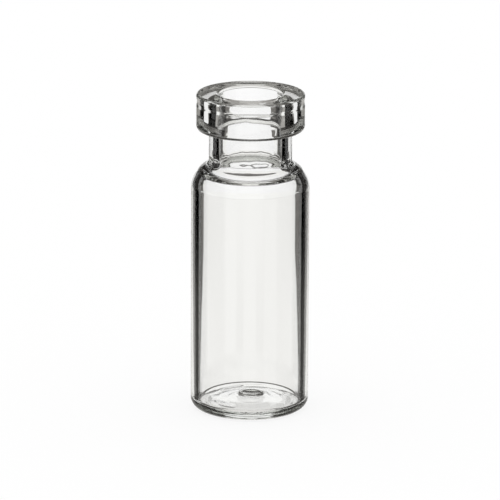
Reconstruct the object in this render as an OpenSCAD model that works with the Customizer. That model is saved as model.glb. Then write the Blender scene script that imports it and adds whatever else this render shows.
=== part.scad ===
// Two millilitre crimp-neck sample vial, drawn from clear borosilicate tubing glass.
// The whole vial is one piece of glass, so it is one revolved section about +Z.
// The origin is the centre of the plane that the base stands on. Lengths are in millimetres.

/* [Body] */
// Height from the standing plane to the sealing face
vial_h = 32; // [28:0.5:45]
// Outer diameter of the body tube
body_d = 11.7; // [11.3:0.05:14]
// Thickness of the body wall
wall_t = 0.76; // [0.5:0.02:1]

/* [Base] */
// Radius of the outer round between base and wall
heel_r = 1.05; // [0.5:0.05:1.2]
// Height of the inner floor's edge above the standing plane
floor_h = 0.85; // [0.7:0.05:2]
// Radius of the inner corner between floor and wall
floor_corner_r = 0.35; // [0.2:0.05:1]
// Rise of the inner floor from its edge to its middle
floor_rise = 0.35; // [0.05:0.05:0.6]
// Diameter of the hollow under the base, inside the ring that the vial stands on
punt_d = 8.2; // [5:0.1:8.6]
// Depth of the hollow under the base
punt_h = 0.3; // [0.05:0.05:0.4]
// Diameter of the dimple that closing the tube leaves in the middle of the floor
dimple_d = 2.6; // [1:0.1:4]
// Depth of the dimple
dimple_t = 0.3; // [0.05:0.05:0.5]

/* [Shoulder and neck] */
// Outer radius of the round shoulder
shoulder_r = 2.6; // [1.5:0.1:2.8]
// Angle that the shoulder turns through before it runs straight in to the neck
shoulder_turn = 61; // [45:1:62]
// Outer diameter of the neck
neck_d = 8.2; // [7.8:0.05:8.5]
// Height of the straight neck between the shoulder's fillet and the flange
neck_h = 2.7; // [2.3:0.05:4.5]
// Radius of the fillet between shoulder and neck
neck_fillet_r = 0.65; // [0.2:0.05:0.7]

/* [Bore and inner shoulder] */
// Diameter of the bore through flange and neck
bore_d = 6.2; // [5.6:0.05:6.4]
// Angle that the throat's round turns through, where the bore opens into the body
throat_turn = 73; // [60:1:82]
// Width of the flat face inside the shoulder, between the throat's round and the corner
face_w = 0.15; // [0.05:0.01:0.3]
// Radius of the corner between that face and the bend of the inner wall
corner_r = 0.25; // [0.15:0.05:0.4]
// Angle that the inner wall bends through before it meets the corner
bend_turn = 40; // [25:1:50]
// Drop of the inner bend's centre below the outer one's, which thickens the shoulder
bend_drop = 0.1; // [0:0.05:0.4]

/* [Crimp flange] */
// Outer diameter of the flange that the crimp cap is closed round
flange_d = 10.7; // [10.2:0.05:11.2]
// Height of the flange
flange_h = 3.7; // [3:0.1:4.5]
// Radius of the fillet between neck and flange
flange_fillet_r = 0.2; // [0.1:0.05:0.4]
// Radius of the flange's lower edge
flange_edge_r = 0.5; // [0.1:0.05:0.6]
// Radius of the flange's upper edge
rim_edge_r = 0.25; // [0.1:0.05:0.35]
// Radius of the mouth's edge
mouth_edge_r = 0.35; // [0.2:0.05:0.5]
// Depth below the sealing face of the shallow groove that the forming tool leaves
groove_drop = 0.8; // [0.75:0.05:1.5]
// Width of the groove
groove_w = 0.8; // [0.3:0.05:0.9]
// Depth of the groove
groove_t = 0.05; // [0.03:0.01:0.1]

/* [Facets] */
// Facets round the vial
round_facets = 72; // [36:12:96]
// Most degrees that one step along a round of the section turns
arc_step = 15; // [10:1:20]

/* [Hidden] */

body_r = body_d / 2;
neck_r = neck_d / 2;
bore_r = bore_d / 2;
flange_r = flange_d / 2;
punt_r = punt_d / 2;
dimple_r = dimple_d / 2;

// Heights, worked down from the sealing face
flange_z = vial_h - flange_h;
neck_z = flange_z - flange_fillet_r - neck_h;

// Unit vector at angle a from +X
function unit(a) = [cos(a), sin(a)];

// The shoulder's straight slope touches its two rounds, which gives the height of the shoulder's centre
fillet_centre = [neck_r + neck_fillet_r, neck_z];
slope_end = fillet_centre - neck_fillet_r * unit(shoulder_turn);
slope_run = (body_r - shoulder_r + shoulder_r * cos(shoulder_turn) - slope_end.x) / sin(shoulder_turn);
shoulder_centre = slope_end - slope_run * unit(shoulder_turn + 90) - shoulder_r * unit(shoulder_turn);

// The inner wall bends about a centre just below the shoulder's, and a tight corner turns it to the face
bend_r = shoulder_r - wall_t;
bend_centre = shoulder_centre - [0, bend_drop];
corner_centre = bend_centre + (bend_r - corner_r) * unit(bend_turn);
face_start = corner_centre + corner_r * unit(throat_turn);
face_end = face_start + face_w * unit(throat_turn + 90);

// The throat's round leads from the end of that face up into the bore
throat_r = (face_end.x - bore_r) / (1 - cos(throat_turn));
throat_centre = face_end + throat_r * unit(throat_turn);

// Radius of the shallow arc that rises by h over a half width r
function cap_radius(r, h) = (r * r + h * h) / (2 * h);

// Points along an arc about centre c, from angle a0 to angle a1
function arc(c, r, a0, a1) =
    let (steps = max(2, ceil(abs(a1 - a0) / arc_step)))
    [for (i = [0 : steps]) let (a = a0 + (a1 - a0) * i / steps) c + r * unit(a)];

// The points of a list after its first one, which the stretch before it already ends on
function rest(points) = [for (i = [1 : len(points) - 1]) points[i]];

// Underside of the base, from the axis to the wall: hollow, standing ring and heel
function base_outside() =
    let (r = cap_radius(punt_r, punt_h))
    concat(
        arc([0, punt_h - r], r, 90, 90 - asin(punt_r / r)),
        arc([body_r - heel_r, heel_r], heel_r, -90, 0));

// Round shoulder, straight slope and neck fillet
function shoulder_outside() = concat(
    arc(shoulder_centre, shoulder_r, 0, shoulder_turn),
    arc(fillet_centre, neck_fillet_r, 180 + shoulder_turn, 180));

// Crimp flange, from its fillet on the neck over the sealing face into the mouth
function flange_outline() =
    let (r = cap_radius(groove_w / 2, groove_t))
    let (half_angle = asin(groove_w / 2 / r))
    concat(
        arc([neck_r + flange_fillet_r, flange_z - flange_fillet_r], flange_fillet_r, 180, 90),
        arc([flange_r - flange_edge_r, flange_z + flange_edge_r], flange_edge_r, -90, 0),
        arc([flange_r - groove_t + r, vial_h - groove_drop], r, 180 + half_angle, 180 - half_angle),
        arc([flange_r - rim_edge_r, vial_h - rim_edge_r], rim_edge_r, 0, 90),
        arc([bore_r + mouth_edge_r, vial_h - mouth_edge_r], mouth_edge_r, 90, 180));

// Throat, face, corner and bend of the inner shoulder, from the bore down to the body's wall
function shoulder_inside() = concat(
    arc(throat_centre, throat_r, 180, 180 + throat_turn),
    arc(corner_centre, corner_r, throat_turn, bend_turn),
    rest(arc(bend_centre, bend_r, bend_turn, 0)));

// Inner corner, domed floor and its dimple, from the wall back to the axis
function floor_inside() =
    let (edge_r = body_r - wall_t - floor_corner_r)
    let (dome_r = cap_radius(edge_r, floor_rise))
    let (dome_z = floor_h + floor_rise - dome_r)
    let (rim_angle = asin(dimple_r / dome_r))
    let (bowl_r = cap_radius(dimple_r, dimple_t))
    let (bowl_z = dome_z + dome_r * cos(rim_angle) - dimple_t + bowl_r)
    concat(
        arc([edge_r, floor_h + floor_corner_r], floor_corner_r, 0, -90),
        rest(arc([0, dome_z], dome_r, 90 - asin(edge_r / dome_r), 90 - rim_angle)),
        rest(arc([0, bowl_z], bowl_r, 270 + asin(dimple_r / bowl_r), 270)));

module vial() {
    color("lightcyan")
        rotate_extrude($fn = round_facets)
            polygon(concat(
                base_outside(),
                shoulder_outside(),
                flange_outline(),
                shoulder_inside(),
                floor_inside()));
}

vial();
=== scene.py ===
import bpy
import numpy as np
from mathutils import Matrix


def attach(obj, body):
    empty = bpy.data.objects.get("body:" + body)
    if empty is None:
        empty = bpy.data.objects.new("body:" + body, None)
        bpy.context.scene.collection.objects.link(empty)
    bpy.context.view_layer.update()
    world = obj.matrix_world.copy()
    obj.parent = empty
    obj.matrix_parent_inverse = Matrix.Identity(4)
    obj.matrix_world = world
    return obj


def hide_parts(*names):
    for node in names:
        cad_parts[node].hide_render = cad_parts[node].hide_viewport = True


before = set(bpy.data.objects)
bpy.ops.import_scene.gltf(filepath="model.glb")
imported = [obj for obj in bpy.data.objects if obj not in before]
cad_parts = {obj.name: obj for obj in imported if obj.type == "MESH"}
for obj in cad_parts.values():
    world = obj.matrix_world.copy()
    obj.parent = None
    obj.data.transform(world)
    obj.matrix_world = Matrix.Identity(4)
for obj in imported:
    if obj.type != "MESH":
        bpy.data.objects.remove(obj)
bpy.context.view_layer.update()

# ---------------------------------------------------------------- the vial
# A sample vial of clear borosilicate glass. A length of drawn tubing is shaped hot between rollers and
# a mandrel into shoulder, neck and crimp flange, and its other end is closed in the flame, which leaves
# a slightly hollow base with a dimple in the middle of the floor. It is one piece of glass.

# Lengths are in millimetres and angles in degrees. _R is a radius, _H a height, _W a width, _T a depth
# or a thickness, and _TURN the angle that a round turns through.
MM = 0.001

# Body, base and floor. The punt is the hollow under the base.
VIAL_H = 32.0
BODY_R = 5.85
WALL_T = 0.76
HEEL_R = 1.05
PUNT_R = 4.1
PUNT_H = 0.3
FLOOR_H = 0.85
FLOOR_CORNER_R = 0.35
FLOOR_RISE = 0.35
DIMPLE_R = 1.3
DIMPLE_T = 0.5

# Shoulder and neck.
SHOULDER_R = 2.6
SHOULDER_TURN = 61
NECK_R = 4.1
NECK_H = 2.7
NECK_FILLET_R = 0.65

# Bore and inner shoulder. From the bore down come the throat's round, a narrow flat face, a tight corner
# and the bend into the wall, whose centre lies a little below the shoulder's.
BORE_R = 3.1
THROAT_TURN = 73
FACE_W = 0.15
CORNER_R = 0.25
BEND_TURN = 40
BEND_DROP = 0.1

# Crimp flange, with the shallow groove that the forming tool leaves round it.
FLANGE_R = 5.35
FLANGE_H = 3.7
FLANGE_FILLET_R = 0.2
FLANGE_EDGE_R = 0.5
RIM_EDGE_R = 0.25
MOUTH_EDGE_R = 0.35
GROOVE_DROP = 0.8
GROOVE_W = 0.8
GROOVE_T = 0.05

# How finely it is drawn: degrees from point to point along a round, points down the dimple, and steps
# round the vial.
ROUND_STEP = 4
PUNT_STEP = 2
SHOULDER_STEP = 3
FILLET_STEP = 9
FLANGE_STEP = 6
DOME_STEP = 0.5
FEWEST_STEPS = 3
DIMPLE_POINTS = 15
STEPS_ROUND = 288


def unit(angle):
    """Unit vector at an angle in degrees from the radial direction."""
    return np.array([np.cos(np.radians(angle)), np.sin(np.radians(angle))])


def arc(centre, radius, start, end, step=ROUND_STEP):
    """Points on a circle, centre + radius times (cos a, sin a), for a from start to end in degrees."""
    a = np.radians(np.linspace(start, end, max(FEWEST_STEPS, int(abs(end - start) / step)) + 1))
    return np.column_stack([centre[0] + radius * np.cos(a), centre[1] + radius * np.sin(a)])


def cap_radius(half_width, height):
    """Radius of the shallow arc that rises by height over half_width, (w² + h²) / 2h."""
    return (half_width**2 + height**2) / (2 * height)


def half_span(half_width, radius):
    """Angle in degrees that half_width takes up on a circle of that radius, asin(w / r)."""
    return np.degrees(np.arcsin(half_width / radius))


def vial_section():
    """The glass section as (radius, height) in mm, from the axis under the base to the axis on the floor.

    Each round is an arc that touches its neighbours, and the straight runs between them follow from that.
    The dimple is a parabola: it falls by its depth times t (2 - t), with t from 0 at its edge to 1 in its
    middle."""
    flange_z = VIAL_H - FLANGE_H
    fillet = np.array([NECK_R + NECK_FILLET_R, flange_z - FLANGE_FILLET_R - NECK_H])
    slope_end = fillet - NECK_FILLET_R * unit(SHOULDER_TURN)
    slope_in = BODY_R - SHOULDER_R + SHOULDER_R * unit(SHOULDER_TURN)[0] - slope_end[0]
    slope_run = slope_in / unit(SHOULDER_TURN)[1]
    shoulder = slope_end - slope_run * unit(SHOULDER_TURN + 90) - SHOULDER_R * unit(SHOULDER_TURN)
    bend_r = SHOULDER_R - WALL_T
    bend = shoulder - [0, BEND_DROP]
    corner = bend + (bend_r - CORNER_R) * unit(BEND_TURN)
    face_end = corner + CORNER_R * unit(THROAT_TURN) + FACE_W * unit(THROAT_TURN + 90)
    throat_r = (face_end[0] - BORE_R) / (1 - unit(THROAT_TURN)[0])
    throat = face_end + throat_r * unit(THROAT_TURN)
    punt_r = cap_radius(PUNT_R, PUNT_H)
    groove_r = cap_radius(GROOVE_W / 2, GROOVE_T)
    groove_a = half_span(GROOVE_W / 2, groove_r)
    groove = [FLANGE_R - GROOVE_T + groove_r, VIAL_H - GROOVE_DROP]
    flange_fillet = [NECK_R + FLANGE_FILLET_R, flange_z - FLANGE_FILLET_R]
    edge = BODY_R - WALL_T - FLOOR_CORNER_R
    dome_r = cap_radius(edge, FLOOR_RISE)
    dome_z = FLOOR_H + FLOOR_RISE - dome_r
    rim_a = half_span(DIMPLE_R, dome_r)
    t = np.linspace(0, 1, DIMPLE_POINTS)
    bowl_z = dome_z + dome_r * unit(90 - rim_a)[1] - DIMPLE_T * t * (2 - t)
    return np.vstack([
        arc([0, PUNT_H - punt_r], punt_r, 90, 90 - half_span(PUNT_R, punt_r), PUNT_STEP),
        arc([BODY_R - HEEL_R, HEEL_R], HEEL_R, -90, 0),
        arc(shoulder, SHOULDER_R, 0, SHOULDER_TURN, SHOULDER_STEP),
        arc(fillet, NECK_FILLET_R, 180 + SHOULDER_TURN, 180),
        arc(flange_fillet, FLANGE_FILLET_R, 180, 90, FILLET_STEP),
        arc([FLANGE_R - FLANGE_EDGE_R, flange_z + FLANGE_EDGE_R], FLANGE_EDGE_R, -90, 0, FLANGE_STEP),
        arc(groove, groove_r, 180 + groove_a, 180 - groove_a),
        arc([FLANGE_R - RIM_EDGE_R, VIAL_H - RIM_EDGE_R], RIM_EDGE_R, 0, 90, FLANGE_STEP),
        arc([BORE_R + MOUTH_EDGE_R, VIAL_H - MOUTH_EDGE_R], MOUTH_EDGE_R, 90, 180, FLANGE_STEP),
        arc(throat, throat_r, 180, 180 + THROAT_TURN, SHOULDER_STEP),
        arc(corner, CORNER_R, THROAT_TURN, BEND_TURN),
        arc(bend, bend_r, BEND_TURN, 0, SHOULDER_STEP),
        arc([edge, FLOOR_H + FLOOR_CORNER_R], FLOOR_CORNER_R, 0, -90),
        arc([0, dome_z], dome_r, 90 - half_span(edge, dome_r), 90 - rim_a, DOME_STEP),
        np.column_stack([DIMPLE_R * (1 - t), bowl_z]),
    ])


def even_steps(points, longest=0.6, guard=0.06, same=1e-4):
    """The same section with runs over the longest length divided, and a point close to each end of a run.

    The close points keep the smooth shading of a round from spreading along the straight wall beside it.
    Of two points nearer than same, one is dropped."""
    kept = [points[0]]
    for start, end in zip(points[:-1], points[1:]):
        length = np.hypot(*(end - start))
        if length < same:
            continue
        if length > longest:
            inner = np.linspace(0, length, int(length / longest) + 2)[1:-1]
            cuts = np.concatenate([[guard], inner, [length - guard]])
            kept += [start + (end - start) * cut / length for cut in cuts]
        kept.append(end)
    section = np.array(kept)
    section[[0, -1], 0] = 0
    return section


# Waves round the throat and the bore: the height they are at and how far they spread up and down from it,
# and for each its size, how many there are in a turn, and where it starts, in radians. Nearer the axis
# than SMALLEST_R they fade to nothing.
THROAT_WAVE_Z = 25.0
THROAT_SPREAD = 0.5
THROAT_WAVES = ((0.02, 3, 1.0), (0.015, 8, 2.0), (0.009, 19, 0.5))
BORE_WAVE_Z = 29.2
BORE_SPREAD = 0.35
BORE_WAVES = ((0.02, 4, 0.4), (0.015, 9, 1.3), (0.012, 17, 2.2))
SMALLEST_R = 1

# Short grooves near the floor's edge: radius, angle round from +X, half their length in degrees, and
# depth. The inner surface counts as floor up to FLOOR_ZONE_H over the floor's edge.
FLOOR_GROOVES = ((3.57, 121, 20, 0.09), (3.7, 228, 22, 0.09), (3.8, 16, 5, 0.09))
FLOOR_GROOVE_W = 0.2
FLOOR_ZONE_H = 0.6

# How far the dimple lies off the axis, to the right and back, and how wide the floor moves with it.
DIMPLE_OFF = (0.2, 0.8)
DRIFT_R = 2.2


def ripple(angle, waves):
    """Waves round the vial: the sum of size times sin(count times angle + start)."""
    return sum(size * np.sin(count * angle + start) for size, count, start in waves)


def bump(value, centre, width):
    """A smooth hump of height 1 at centre: e to the power -((value - centre) / width) squared."""
    return np.exp(-(((value - centre) / width) ** 2))


def hot_formed(x, y, z):
    """Moves the inner surface as the flame and the tools leave it.

    The throat and the bore get waves round the axis, a few hundredths of a millimetre high. Each groove in
    the floor is its depth times a hump across its width times e to the power -(off to the fourth), where
    off is the angle from its middle in half lengths. The dimple moves off the axis, and the floor round it
    moves less with distance. Rows of points after the highest one count as the inner surface."""
    inside = (np.arange(len(z)) > np.argmax(z[:, 0]))[:, None]
    r, a = np.hypot(x, y), np.arctan2(y, x)
    push = inside * bump(z, THROAT_WAVE_Z, THROAT_SPREAD) * ripple(a, THROAT_WAVES)
    push = push + inside * bump(z, BORE_WAVE_Z, BORE_SPREAD) * ripple(a, BORE_WAVES)
    stretch = 1 + push / np.maximum(r, SMALLEST_R)
    x, y = x * stretch, y * stretch
    floor_zone = inside * (z < FLOOR_H + FLOOR_ZONE_H)
    for radius, middle, half_length, depth in FLOOR_GROOVES:
        off = np.angle(np.exp(1j * (a - np.radians(middle)))) / np.radians(half_length)
        z = z - floor_zone * depth * bump(r, radius, FLOOR_GROOVE_W) * np.exp(-(off**4))
    drift = floor_zone * bump(r, 0, DRIFT_R)
    return x + drift * DIMPLE_OFF[0], y + drift * DIMPLE_OFF[1], z


def lathe(section, turns, form):
    """Vertices and faces of the section turned about Z: x = r cos a, y = r sin a, z = z.

    form then moves the grid of points. The section's two ends lie on the axis, and each becomes one
    point, so both poles are closed."""
    angle = np.linspace(0, 2 * np.pi, turns, endpoint=False)
    r, z = section[:, 0:1], section[:, 1:2]
    x, y, z = form(r * np.cos(angle), r * np.sin(angle), np.repeat(z, turns, 1))
    grid = np.stack([x, y, z], -1)
    points = np.vstack([grid[0].mean(0), grid[-1].mean(0), grid[1:-1].reshape(-1, 3)])
    rows = len(section) - 2
    i, j = np.meshgrid(np.arange(rows - 1), np.arange(turns), indexing="ij")
    here, beside = 2 + i * turns + j, 2 + i * turns + (j + 1) % turns
    quads = np.stack([here, beside, beside + turns, here + turns], -1).reshape(-1, 4)
    first, last = 2 + np.arange(turns), 2 + (rows - 1) * turns + np.arange(turns)
    under = np.column_stack([np.zeros(turns, int), np.roll(first, -1), first])
    over = np.column_stack([np.ones(turns, int), last, np.roll(last, -1)])
    return points * MM, quads.tolist() + under.tolist() + over.tolist()


def smooth_mesh(name, points, faces):
    """One smooth-shaded mesh object at the origin, from points in metres and faces."""
    mesh = bpy.data.meshes.new(name)
    mesh.from_pydata(points.tolist(), [], faces)
    mesh.polygons.foreach_set("use_smooth", [True] * len(mesh.polygons))
    mesh.update()
    piece = bpy.data.objects.new(name, mesh)
    bpy.context.scene.collection.objects.link(piece)
    return piece


def linear(hex_colour):
    """Linear red, green and blue of an sRGB hex colour.

    Each is ((c + 0.055) / 1.055) to the power 2.4, or c / 12.92 where c is no more than 0.04045."""
    c = np.array([int(hex_colour[i : i + 2], 16) for i in (1, 3, 5)]) / 255
    return tuple(np.where(c > 0.04045, ((c + 0.055) / 1.055) ** 2.4, c / 12.92)) + (1,)


def add(tree, kind, settings=(), **links):
    """Adds a node. settings gives its properties, and the values of its sockets by name or number.

    links gives the sockets that other nodes feed: _6 is socket 6, and in a name _ stands for a space."""
    node = tree.nodes.new(kind)
    for key, value in dict(settings).items():
        if isinstance(key, str) and hasattr(node, key):
            setattr(node, key, value)
        else:
            node.inputs[key].default_value = value
    for key, source in links.items():
        socket = int(key[1:]) if key[1:].isdigit() else key.replace("_", " ")
        tree.links.new(source, node.inputs[socket])
    return node


def bare_material(name):
    """A new material, and its node tree with no nodes in it."""
    material = bpy.data.materials.new(name)
    material.use_nodes = True
    material.node_tree.nodes.clear()
    return material, material.node_tree


vial = smooth_mesh("vial_glass", *lathe(even_steps(vial_section()), STEPS_ROUND, hot_formed))

# Borosilicate glass, drawn as tubing and left as the flame polishes it: clear and glossy, very faintly
# green where the eye looks along the wall, with draw lines along the axis too shallow to feel, and a
# little haze from handling where its noise is above HAZE_FROM.
GLASS_IOR = 1.49
GLASS_TINT = "#CCDACC"
TINT_PER_METRE = 9.0
DRAW_LINE_MM = 0.5
DRAW_LINE_LONG_MM = 14.0
DRAW_LINE_DEEP_MM = 0.0015
HAZE_MM = 1.6
HAZE_FROM = 0.58
HAZE_FULL = 0.85
HAZE_ROUGHNESS = 0.05
WHITE = "#FFFFFF"

glass, tree = bare_material("borosilicate_glass")
point = add(tree, "ShaderNodeTexCoord").outputs["Object"]
along = (1 / DRAW_LINE_MM / MM, 1 / DRAW_LINE_MM / MM, 1 / DRAW_LINE_LONG_MM / MM)
lines = add(tree, "ShaderNodeMapping", {"Scale": along}, Vector=point)
lines = add(tree, "ShaderNodeTexNoise", {"Scale": 1.0, "Detail": 2.0}, Vector=lines.outputs[0])
depth = {"Strength": 1.0, "Distance": DRAW_LINE_DEEP_MM * MM}
relief = add(tree, "ShaderNodeBump", depth, Height=lines.outputs[0])
specks = {"Scale": 1 / HAZE_MM / MM, "Detail": 4.0, "Roughness": 0.6}
haze = add(tree, "ShaderNodeTexNoise", specks, Vector=point)
amount = {"From Min": HAZE_FROM, "From Max": HAZE_FULL, "To Min": 0.0, "To Max": HAZE_ROUGHNESS}
haze = add(tree, "ShaderNodeMapRange", amount, Value=haze.outputs[0])
clear = {"Base Color": linear(WHITE), "Transmission Weight": 1.0, "IOR": GLASS_IOR}
shine = add(tree, "ShaderNodeBsdfPrincipled", clear, Roughness=haze.outputs[0], Normal=relief.outputs[0])
green = {"Color": linear(GLASS_TINT), "Density": TINT_PER_METRE}
tint = add(tree, "ShaderNodeVolumeAbsorption", green)
add(tree, "ShaderNodeOutputMaterial", {}, Surface=shine.outputs[0], Volume=tint.outputs[0])
vial.data.materials.append(glass)

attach(vial, "root")
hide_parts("vial")

# ---------------------------------------------------------------- the floor
# A sheet of white paper that the vial stands on. Most of its white is a glow of its own, which only the
# camera sees, and the rest is matt and takes the vial's shadow. Rays from the glass pass it.

FLOOR_HALF_M = 4.0
PAPER_GLOW = 0.85


def flat_face(name, corners):
    """A flat face through four corners, each (x, y, z) in metres."""
    return smooth_mesh(name, np.array(corners), [(0, 1, 2, 3)])


paper_corners = [(x * FLOOR_HALF_M, y * FLOOR_HALF_M, 0) for x, y in ((-1, -1), (1, -1), (1, 1), (-1, 1))]
floor = flat_face("floor", paper_corners)
floor.visible_glossy = False
floor.visible_transmission = False
paper, tree = bare_material("white_paper")
seen = add(tree, "ShaderNodeLightPath").outputs["Is Camera Ray"]
glow = add(tree, "ShaderNodeMath", {"operation": "MULTIPLY", 1: PAPER_GLOW}, _0=seen)
glow = add(tree, "ShaderNodeEmission", {"Color": linear(WHITE)}, Strength=glow.outputs[0])
matt = add(tree, "ShaderNodeBsdfDiffuse", {"Color": (1 - PAPER_GLOW,) * 3 + (1,)})
look = add(tree, "ShaderNodeAddShader", {}, _0=glow.outputs[0], _1=matt.outputs[0])
add(tree, "ShaderNodeOutputMaterial", {}, Surface=look.outputs[0])
floor.data.materials.append(paper)

# ---------------------------------------------------------------- the white card
# A small lit card of white board behind the vial, held a little over the paper. It is seen only in the
# glass, where it lights the window in the heel, and it casts no shadow.

CARD_FAR = 62.0
CARD_HALF = 17.0
CARD_LOW = 8.0
CARD_TOP = 30.0

outline = ((-CARD_HALF, CARD_LOW), (CARD_HALF, CARD_LOW), (CARD_HALF, CARD_TOP), (-CARD_HALF, CARD_TOP))
card = flat_face("white_card", [(x * MM, CARD_FAR * MM, z * MM) for x, z in outline])
card.visible_camera = card.visible_diffuse = card.visible_shadow = False
lit, tree = bare_material("lit_card")
glow = add(tree, "ShaderNodeEmission", {"Color": linear(WHITE), "Strength": 1.0})
add(tree, "ShaderNodeOutputMaterial", {}, Surface=glow.outputs[0])
card.data.materials.append(lit)

# ---------------------------------------------------------------- the room
# Clear glass shows what it bends and mirrors into view. Here that is a small room built of cards round
# the vial: mostly dim, paler overhead, underfoot and behind the camera, with white sheets where the vial
# is looked through. The dim cards between them draw the dark lines along its walls.

# A ring of cards starts at an elevation above the horizon. Each of its cards starts at a heading, counted
# from +Y to both sides alike, and has a level of brightness, where 1 is white. Angles are in degrees.
HALF_TURN = 180.0
BENT_ROOM = (
    (-90, ((0, 0.75),)),
    (-60, ((0, 0.10), (60, 0.16), (90, 0.40), (135, 0.62))),
    (-21, ((0, 0.10), (30, 0.02), (60, 1.0), (72, 0.70), (84, 0.60), (100, 0.50), (150, 0.45))),
    (-15.6, ((0, 0.15), (22, 0.0), (60, 0.38), (84, 0.30), (120, 0.50), (150, 0.75))),
    (-8, ((0, 0.02), (60, 0.05), (90, 0.12), (150, 0.90))),
    (16, ((0, 0.02), (20, 0.06), (90, 0.20), (135, 0.70))),
    (40, ((0, 0.25), (60, 0.85))),
)

# A plainer room that pure reflections see, bright low down straight behind the vial and dim elsewhere.
MIRROR_ROOM = (
    (-90, ((0, 0.99), (17, 0.60), (45, 0.22), (90, 0.16))),
    (-15.6, ((0, 0.99), (17, 0.20), (45, 0.0), (90, 0.20))),
    (-11, ((0, 0.99), (17, 0.03), (90, 0.18))),
    (10, ((0, 0.15), (12, 0.0), (90, 0.16))),
    (40, ((0, 0.10),)),
)

# White sheets let into the first room: heading from +Y towards +X, lowest and highest elevation, level,
# and how far they reach to both sides at the top and SHEET_DROP degrees below it.
SHEET_DROP = 2
SHEETS = (
    (-1, -90, -45, 0.70, (16, 16)),
    (-1, -45, -27.7, 1.0, (16, 16)),
    (-1, -23, -14.6, 0.95, (14, 14)),
    (-1, -14.6, -2, 1.0, (14, 14)),
    (-1, -19, -15.3, 0.95, (14, 26)),
    (-1, -14.35, -13.8, 1.0, (20, 20)),
    (-45, -28, -22, 1.0, (14, 14)),
    (135, -20, -9, 1.0, (14, 14)),
    (-90, -8, 2, 1.0, (14, 14)),
    (180, -21, -12.8, 0.8, (14, 14)),
    (180, -12.8, -4, 1.0, (24, 24)),
)

# Degrees over which an edge fades: to each side of the line between two cards, and in all between two
# rings, at a sheet's sides, and at its top and foot.
CARD_FADE = 1.5
RING_FADE = 1.5
SHEET_SIDE_FADE = 1.5
SHEET_TOP_FADE = 0.15

# White card is a touch warm, and grey card warmer still.
WHITE_CARD = np.array([1.0, 1.0, 0.98])
GREY_CARD = np.array([1.0, 0.95, 0.88])


def tone(level):
    """Colour of a card of that level: the level times a tint between grey card's and white card's."""
    return tuple(level * (GREY_CARD + (WHITE_CARD - GREY_CARD) * level)) + (1,)


def ring(tree, side, cards):
    """Cards side by side round the vial: each holds up to where the next one starts, over a soft edge."""
    share = add(tree, "ShaderNodeMath", {"operation": "DIVIDE", 1: HALF_TURN}, _0=side)
    ramp = add(tree, "ShaderNodeValToRGB", {}, Fac=share.outputs[0])
    stops = ramp.color_ramp.elements
    stops[0].color, stops[1].color = tone(cards[0][1]), tone(cards[-1][1])
    for (_, before), (start, level) in zip(cards, cards[1:]):
        stops.new((start - CARD_FADE) / HALF_TURN).color = tone(before)
        stops.new((start + CARD_FADE) / HALF_TURN).color = tone(level)
    return ramp.outputs[0]


def room(tree, rings, side, height):
    """Rings of cards one over the other: each takes over from the one below at its elevation."""
    shade = ring(tree, side, rings[0][1])
    for low, cards in rings[1:]:
        above = add(tree, "ShaderNodeMapRange", {
            "interpolation_type": "SMOOTHSTEP",
            "From Min": low - RING_FADE / 2, "From Max": low + RING_FADE / 2,
        }, Value=height)
        here = ring(tree, side, cards)
        mix = add(tree, "ShaderNodeMix", {"data_type": "RGBA"}, _0=above.outputs[0], _6=shade, _7=here)
        shade = mix.outputs[2]
    return shade


def sheet(tree, behind, turn, height, heading, low, high, level, reach):
    """A white sheet round a heading, in front of what is behind it.

    A direction sees it by the product of three smooth steps between 0 and 1: within its sides, over its
    foot and under its top. reach gives its half width at the top and SHEET_DROP degrees below."""
    off = add(tree, "ShaderNodeMath", {"operation": "SUBTRACT", 1: heading}, _0=turn)
    off = add(tree, "ShaderNodeMath", {"operation": "WRAP", 1: HALF_TURN, 2: -HALF_TURN}, _0=off.outputs[0])
    off = add(tree, "ShaderNodeMath", {"operation": "ABSOLUTE"}, _0=off.outputs[0])
    spread = {"From Min": high - SHEET_DROP, "From Max": high, "To Min": reach[1], "To Max": reach[0]}
    wide = add(tree, "ShaderNodeMapRange", spread, Value=height)
    margin = add(tree, "ShaderNodeMath", {"operation": "SUBTRACT"}, _0=wide.outputs[0], _1=off.outputs[0])
    steps = (
        (margin.outputs[0], 0, SHEET_SIDE_FADE, 0, 1),
        (height, low, SHEET_TOP_FADE, 0, 1),
        (height, high, SHEET_TOP_FADE, 1, 0),
    )
    shares = []
    for value, middle, fade, first, last in steps:
        shares.append(add(tree, "ShaderNodeMapRange", {
            "interpolation_type": "SMOOTHSTEP",
            "From Min": middle - fade / 2, "From Max": middle + fade / 2,
            "To Min": first, "To Max": last,
        }, Value=value).outputs[0])
    shown = shares[0]
    for share in shares[1:]:
        shown = add(tree, "ShaderNodeMath", {"operation": "MULTIPLY"}, _0=shown, _1=share).outputs[0]
    colour = {"data_type": "RGBA", 7: tone(level)}
    return add(tree, "ShaderNodeMix", colour, _0=shown, _6=behind).outputs[2]


# Generated gives the direction of a ray here, and turn and height are its heading and its elevation.
world = bpy.data.worlds.new("studio")
bpy.context.scene.world = world
world.use_nodes = True
tree = world.node_tree
tree.nodes.clear()
way = add(tree, "ShaderNodeSeparateXYZ", {}, Vector=add(tree, "ShaderNodeTexCoord").outputs["Generated"])
to_degrees = {"operation": "MULTIPLY", 1: np.degrees(1)}
turn = add(tree, "ShaderNodeMath", {"operation": "ARCTAN2"}, _0=way.outputs[0], _1=way.outputs[1])
turn = add(tree, "ShaderNodeMath", to_degrees, _0=turn.outputs[0]).outputs[0]
side = add(tree, "ShaderNodeMath", {"operation": "ABSOLUTE"}, _0=turn).outputs[0]
height = add(tree, "ShaderNodeMath", {"operation": "ARCSINE"}, _0=way.outputs[2])
height = add(tree, "ShaderNodeMath", to_degrees, _0=height.outputs[0]).outputs[0]
bent = room(tree, BENT_ROOM, side, height)
for sheet_row in SHEETS:
    bent = sheet(tree, bent, turn, height, *sheet_row)
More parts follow.
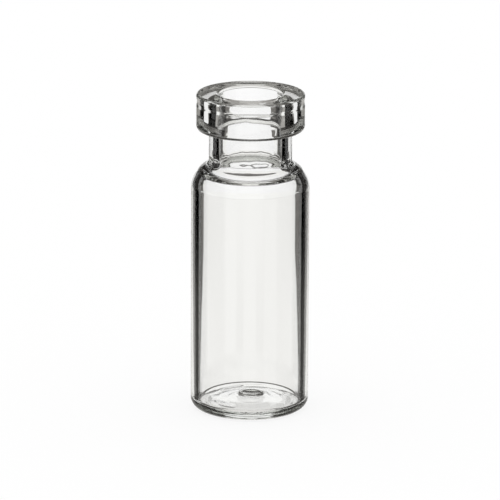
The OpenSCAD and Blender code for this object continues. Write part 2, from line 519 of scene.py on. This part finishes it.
mirrored = room(tree, MIRROR_ROOM, side, height)

# A ray that has gone through glass counts as glossy too, so pure reflections are what is left without it.
# Rays that have met no glass see plain white.
ray = add(tree, "ShaderNodeLightPath")
glossy, through = ray.outputs["Is Glossy Ray"], ray.outputs["Is Transmission Ray"]
pure = add(tree, "ShaderNodeMath", {"operation": "SUBTRACT", "use_clamp": True}, _0=glossy, _1=through)
shade = add(tree, "ShaderNodeMix", {"data_type": "RGBA"}, _0=pure.outputs[0], _6=bent, _7=mirrored)
either = add(tree, "ShaderNodeMath", {"operation": "MAXIMUM"}, _0=glossy, _1=through)
plain = {"data_type": "RGBA", 6: linear(WHITE)}
shade = add(tree, "ShaderNodeMix", plain, _0=either.outputs[0], _7=shade.outputs[2])
light = add(tree, "ShaderNodeBackground", {}, Color=shade.outputs[2])
add(tree, "ShaderNodeOutputWorld", {}, Surface=light.outputs[0])

# Light crosses this glass wall many times before it leaves, most of all in the shoulder and the floor.
LONGEST_PATH = 20
paths = bpy.context.scene.cycles
paths.max_bounces = paths.glossy_bounces = paths.transmission_bounces = LONGEST_PATH

# ---------------------------------------------------------------- the camera
# It looks down on the middle of the vial from the front, rolled by about a quarter of a degree. The lens
# follows from how many pixels of the frame one millimetre takes up at the vial's axis.

CAMERA_FAR_M = 0.47
CAMERA_UP = np.radians(15.3)
ROLL = np.radians(0.275)
MIDDLE_M = np.array([0, 0, 0.016])
PX_PER_MM = 10.122
FRAME_PX = 500
SENSOR_MM = 36
SHIFT_UP = 0.00072
NEAREST_M = 0.01

forward = np.array([0, np.cos(CAMERA_UP), -np.sin(CAMERA_UP)])
right = np.array([1, 0, 0])
up = np.array([0, np.sin(CAMERA_UP), np.cos(CAMERA_UP)])
right, up = right * np.cos(ROLL) + up * np.sin(ROLL), up * np.cos(ROLL) - right * np.sin(ROLL)
place = MIDDLE_M - forward * CAMERA_FAR_M
lens = bpy.data.cameras.new("camera")
lens.sensor_width = SENSOR_MM
lens.lens = PX_PER_MM * CAMERA_FAR_M / MM * SENSOR_MM / FRAME_PX
lens.shift_y = SHIFT_UP
lens.clip_start = NEAREST_M
camera = bpy.data.objects.new("camera", lens)
camera.matrix_world = Matrix([(right[i], up[i], -forward[i], place[i]) for i in range(3)] + [(0, 0, 0, 1)])
bpy.context.scene.collection.objects.link(camera)
bpy.context.scene.camera = camera
bpy.context.scene.view_settings.view_transform = "Standard"
